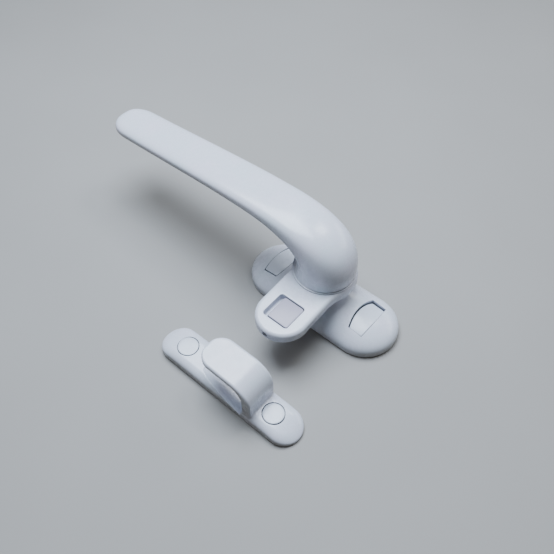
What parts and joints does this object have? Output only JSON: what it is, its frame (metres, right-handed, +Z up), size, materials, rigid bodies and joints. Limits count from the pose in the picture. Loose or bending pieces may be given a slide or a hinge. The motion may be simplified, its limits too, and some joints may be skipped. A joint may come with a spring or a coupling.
{
  "type": "casement window fastener",
  "caption": "Cranked lever with a locking tongue turning on a domed screw-on base, with a separate hooked keep that the tongue swings under.",
  "frame": {"origin": "middle of the set's footprint, at the surface that the base and the keep lie on", "axes": "+X along the base and the keep, away from the lever's tip; +Y from the keep towards the base; +Z up, out of the window"},
  "size_m": [0.1714, 0.0864, 0.0518],
  "materials": {
    "white_coat": "smooth bluish white powder coat, semi-gloss, over a zinc casting",
    "white_cap": "white moulded plastic, satin",
    "pad_nylon": "greyish white nylon, satin",
    "washer_nylon": "natural nylon",
    "zinc_steel": "zinc-plated steel",
    "spring_steel": "dark spring steel"
  },
  "bodies": {
    "base": {"base_housing": "white_coat", "screw_cover_left": "white_cap", "screw_cover_right": "white_cap", "pivot_bush": "washer_nylon", "thrust_washer": "washer_nylon", "stop_pin": "zinc_steel"},
    "handle": {"lever": "white_coat", "tongue_plate": "white_coat", "hub_washer": "white_coat", "wear_pad": "pad_nylon", "pad_grub_screw": "zinc_steel", "hub_grub_screw": "zinc_steel", "spindle": "zinc_steel", "index_plate": "zinc_steel", "wave_washer": "spring_steel", "plain_washer": "zinc_steel", "lock_nut": "zinc_steel"},
    "keep": {"keep_body": "white_coat", "keep_cap_left": "white_cap", "keep_cap_right": "white_cap"}
  },
  "joints": [
    {"name": "lever_turn", "type": "hinge", "parent": "base", "child": "handle", "pos_m": [0.0457, 0.02707, 0.0247], "axis": [0, 0, 1], "range_deg": [-90, 0]},
    {"name": "keep_lift", "type": "slide", "parent": "base", "child": "keep", "axis": [0, 0, 1], "range_m": [0, 0.03]}
  ]
}
